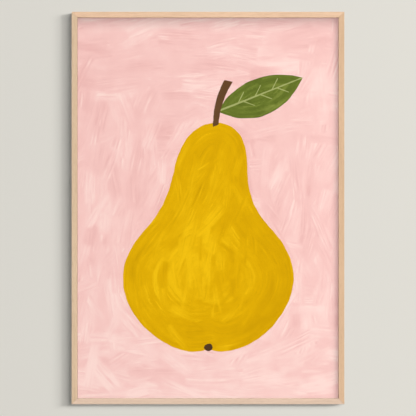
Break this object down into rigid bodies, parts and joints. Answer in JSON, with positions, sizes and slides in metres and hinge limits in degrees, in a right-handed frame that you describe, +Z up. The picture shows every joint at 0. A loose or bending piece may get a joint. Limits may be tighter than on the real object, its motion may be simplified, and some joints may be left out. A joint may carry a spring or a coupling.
{
  "type": "framed art print",
  "caption": "Tall art print of a pear under clear glazing in a slim ash frame with mitred corners, saw-tooth hangers and turn buttons on the back.",
  "frame": {"origin": "on the wall plane, on the vertical centre line, at the height of the two nails or hooks in the wall that the saw-tooth hangers hang on", "axes": "+Z up, +Y into the wall, so the picture faces -Y, and +X to the right of someone facing the picture"},
  "size_m": [0.72, 0.0243, 1.036],
  "materials": {
    "ash_wood": "pale ash, satin varnish",
    "clear_acrylic": "clear anti-reflective sheet",
    "print_paper": "matt art paper, printed",
    "foam_board": "white foam board",
    "hardboard": "smooth brown hardboard",
    "zinc_steel": "zinc-plated",
    "black_rubber": "matt"
  },
  "bodies": {
    "frame": {"bottom_rail": "ash_wood", "right_stile": "ash_wood", "top_rail": "ash_wood", "left_stile": "ash_wood", "v_nail_bottom_right": "zinc_steel", "v_nail_top_right": "zinc_steel", "v_nail_top_left": "zinc_steel", "v_nail_bottom_left": "zinc_steel", "glazing_sheet": "clear_acrylic", "art_print": "print_paper", "mount_board": "foam_board", "backing_board": "hardboard", "button_screw_1": "zinc_steel", "button_screw_2": "zinc_steel", "button_screw_3": "zinc_steel", "button_screw_4": "zinc_steel", "button_screw_5": "zinc_steel", "button_screw_6": "zinc_steel", "button_screw_7": "zinc_steel", "button_screw_8": "zinc_steel", "button_screw_9": "zinc_steel", "button_screw_10": "zinc_steel", "hanger_1": "zinc_steel", "hanger_2": "zinc_steel", "hanger_nail_1": "zinc_steel", "hanger_nail_2": "zinc_steel", "hanger_nail_3": "zinc_steel", "hanger_nail_4": "zinc_steel", "bumper_bottom_right": "black_rubber", "bumper_top_right": "black_rubber", "bumper_top_left": "black_rubber", "bumper_bottom_left": "black_rubber"},
    "turn_button_1": {"turn_button_1": "zinc_steel"},
    "turn_button_2": {"turn_button_2": "zinc_steel"},
    "turn_button_3": {"turn_button_3": "zinc_steel"},
    "turn_button_4": {"turn_button_4": "zinc_steel"},
    "turn_button_5": {"turn_button_5": "zinc_steel"},
    "turn_button_6": {"turn_button_6": "zinc_steel"},
    "turn_button_7": {"turn_button_7": "zinc_steel"},
    "turn_button_8": {"turn_button_8": "zinc_steel"},
    "turn_button_9": {"turn_button_9": "zinc_steel"},
    "turn_button_10": {"turn_button_10": "zinc_steel"}
  },
  "joints": [
    {"name": "turn_button_1_swivel", "type": "hinge", "parent": "frame", "child": "turn_button_1", "pos_m": [-0.135, -0.0034, -1.0258], "axis": [0, 1, 0], "range_deg": [-90, 90]},
    {"name": "turn_button_2_swivel", "type": "hinge", "parent": "frame", "child": "turn_button_2", "pos_m": [0.135, -0.0034, -1.0258], "axis": [0, 1, 0], "range_deg": [-90, 90]},
    {"name": "turn_button_3_swivel", "type": "hinge", "parent": "frame", "child": "turn_button_3", "pos_m": [0.3555, -0.0034, -0.8423], "axis": [0, 1, 0], "range_deg": [-90, 90]},
    {"name": "turn_button_4_swivel", "type": "hinge", "parent": "frame", "child": "turn_button_4", "pos_m": [0.3555, -0.0034, -0.5123], "axis": [0, 1, 0], "range_deg": [-90, 90]},
    {"name": "turn_button_5_swivel", "type": "hinge", "parent": "frame", "child": "turn_button_5", "pos_m": [0.3555, -0.0034, -0.1823], "axis": [0, 1, 0], "range_deg": [-90, 90]},
    {"name": "turn_button_6_swivel", "type": "hinge", "parent": "frame", "child": "turn_button_6", "pos_m": [0.135, -0.0034, 0.0012], "axis": [0, 1, 0], "range_deg": [-90, 90]},
    {"name": "turn_button_7_swivel", "type": "hinge", "parent": "frame", "child": "turn_button_7", "pos_m": [-0.135, -0.0034, 0.0012], "axis": [0, 1, 0], "range_deg": [-90, 90]},
    {"name": "turn_button_8_swivel", "type": "hinge", "parent": "frame", "child": "turn_button_8", "pos_m": [-0.3555, -0.0034, -0.1823], "axis": [0, 1, 0], "range_deg": [-90, 90]},
    {"name": "turn_button_9_swivel", "type": "hinge", "parent": "frame", "child": "turn_button_9", "pos_m": [-0.3555, -0.0034, -0.5123], "axis": [0, 1, 0], "range_deg": [-90, 90]},
    {"name": "turn_button_10_swivel", "type": "hinge", "parent": "frame", "child": "turn_button_10", "pos_m": [-0.3555, -0.0034, -0.8423], "axis": [0, 1, 0], "range_deg": [-90, 90]}
  ]
}
